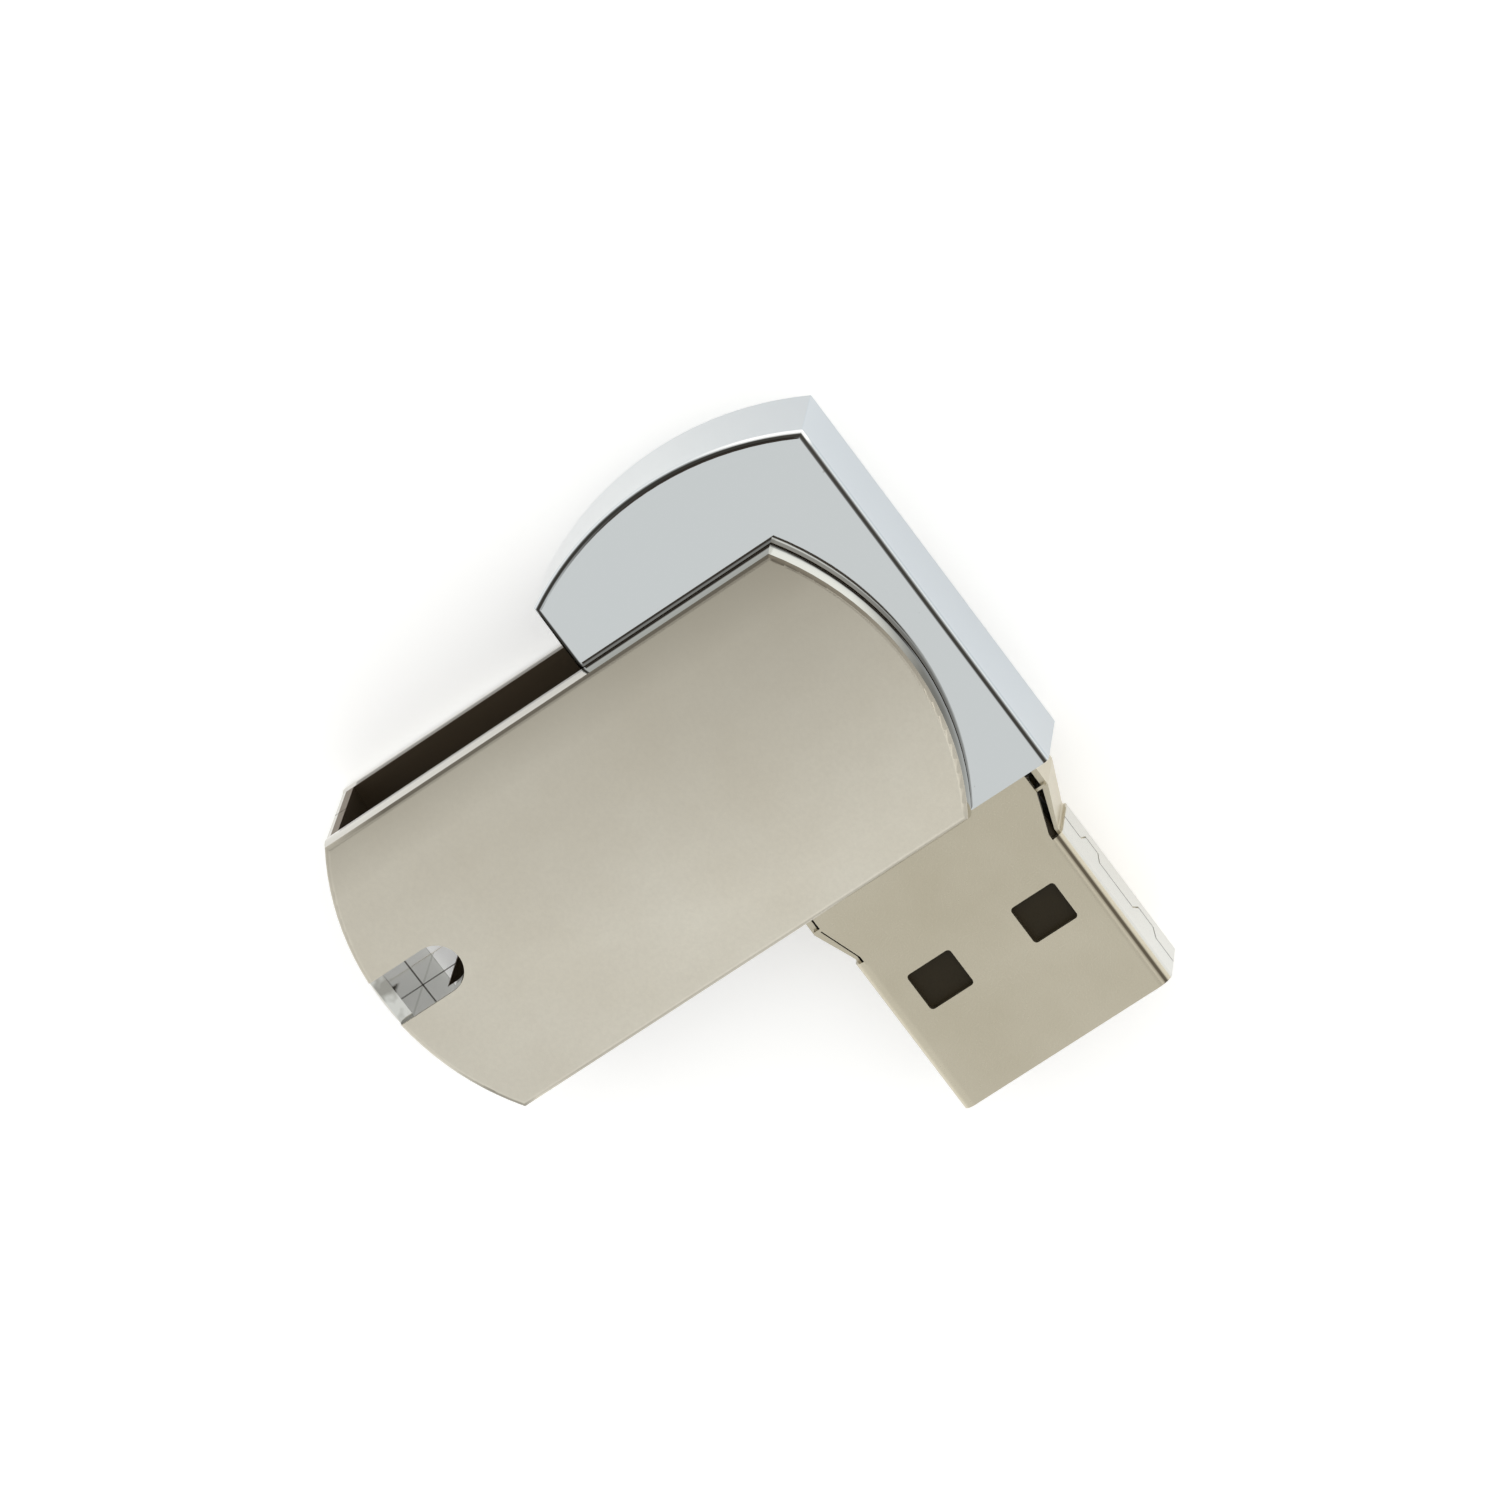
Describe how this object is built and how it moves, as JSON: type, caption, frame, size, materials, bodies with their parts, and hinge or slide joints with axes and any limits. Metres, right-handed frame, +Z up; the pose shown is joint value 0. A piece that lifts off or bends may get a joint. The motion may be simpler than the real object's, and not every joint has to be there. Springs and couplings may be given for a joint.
{
  "type": "usb flash drive",
  "caption": "Flash drive with a mirror-chromed body, a folded steel plug and a swivelling satin metal cover with a lanyard slot in its closed end.",
  "frame": {"origin": "on the swivel axis, at the outer face of the lower cover plate, which is the face it rests on", "axes": "+Z up through the thickness along the swivel axis, +X the way the plug points, -Y towards the closed end of the cover"},
  "size_m": [0.0338, 0.0327, 0.0085],
  "materials": {
    "polished_chrome": "mirror-polished chrome plate",
    "satin_nickel": "satin nickel plate, cloudy fine grain, polished edges",
    "plated_steel": "nickel-plated rolled sheet steel, fine matt grain",
    "black_plastic": "moulded glass-filled plastic",
    "gold_contact": "gold flash over copper alloy",
    "tinned_metal": "bright tin",
    "green_laminate": "solder-masked glass epoxy laminate",
    "amber_film": "thin polyimide film",
    "black_epoxy": "moulded epoxy package",
    "ceramic_chip": "ceramic chip",
    "bush_brass": "turned",
    "stud_steel": "turned, fine finish",
    "washer_plastic": "smooth natural acetal"
  },
  "bodies": {
    "drive": {"body_housing": "polished_chrome", "plug_shell": "plated_steel", "plug_tongue": "black_plastic", "contact_retainer": "black_plastic", "contact_vbus": "gold_contact", "contact_data_minus": "gold_contact", "contact_data_plus": "gold_contact", "contact_ground": "gold_contact", "contact_solder": "tinned_metal", "circuit_board": "green_laminate", "board_carrier": "black_plastic", "insulating_film": "amber_film", "flash_memory_chip": "black_epoxy", "flash_memory_pads": "gold_contact", "controller_chip": "black_epoxy", "controller_leads": "tinned_metal", "crystal_oscillator": "tinned_metal", "voltage_regulator": "black_epoxy", "regulator_leads": "tinned_metal", "capacitors": "ceramic_chip", "resistors": "black_epoxy", "pivot_bush_top": "bush_brass", "pivot_bush_bottom": "bush_brass"},
    "cover": {"swivel_cover": "satin_nickel", "pivot_stud_top": "stud_steel", "pivot_stud_bottom": "stud_steel", "friction_washer_top": "washer_plastic", "friction_washer_bottom": "washer_plastic"}
  },
  "joints": [
    {"name": "cover_swivel", "type": "hinge", "parent": "drive", "child": "cover", "pos_m": [0, 0, 0.00425], "axis": [0, 0, 1], "continuous": true}
  ]
}
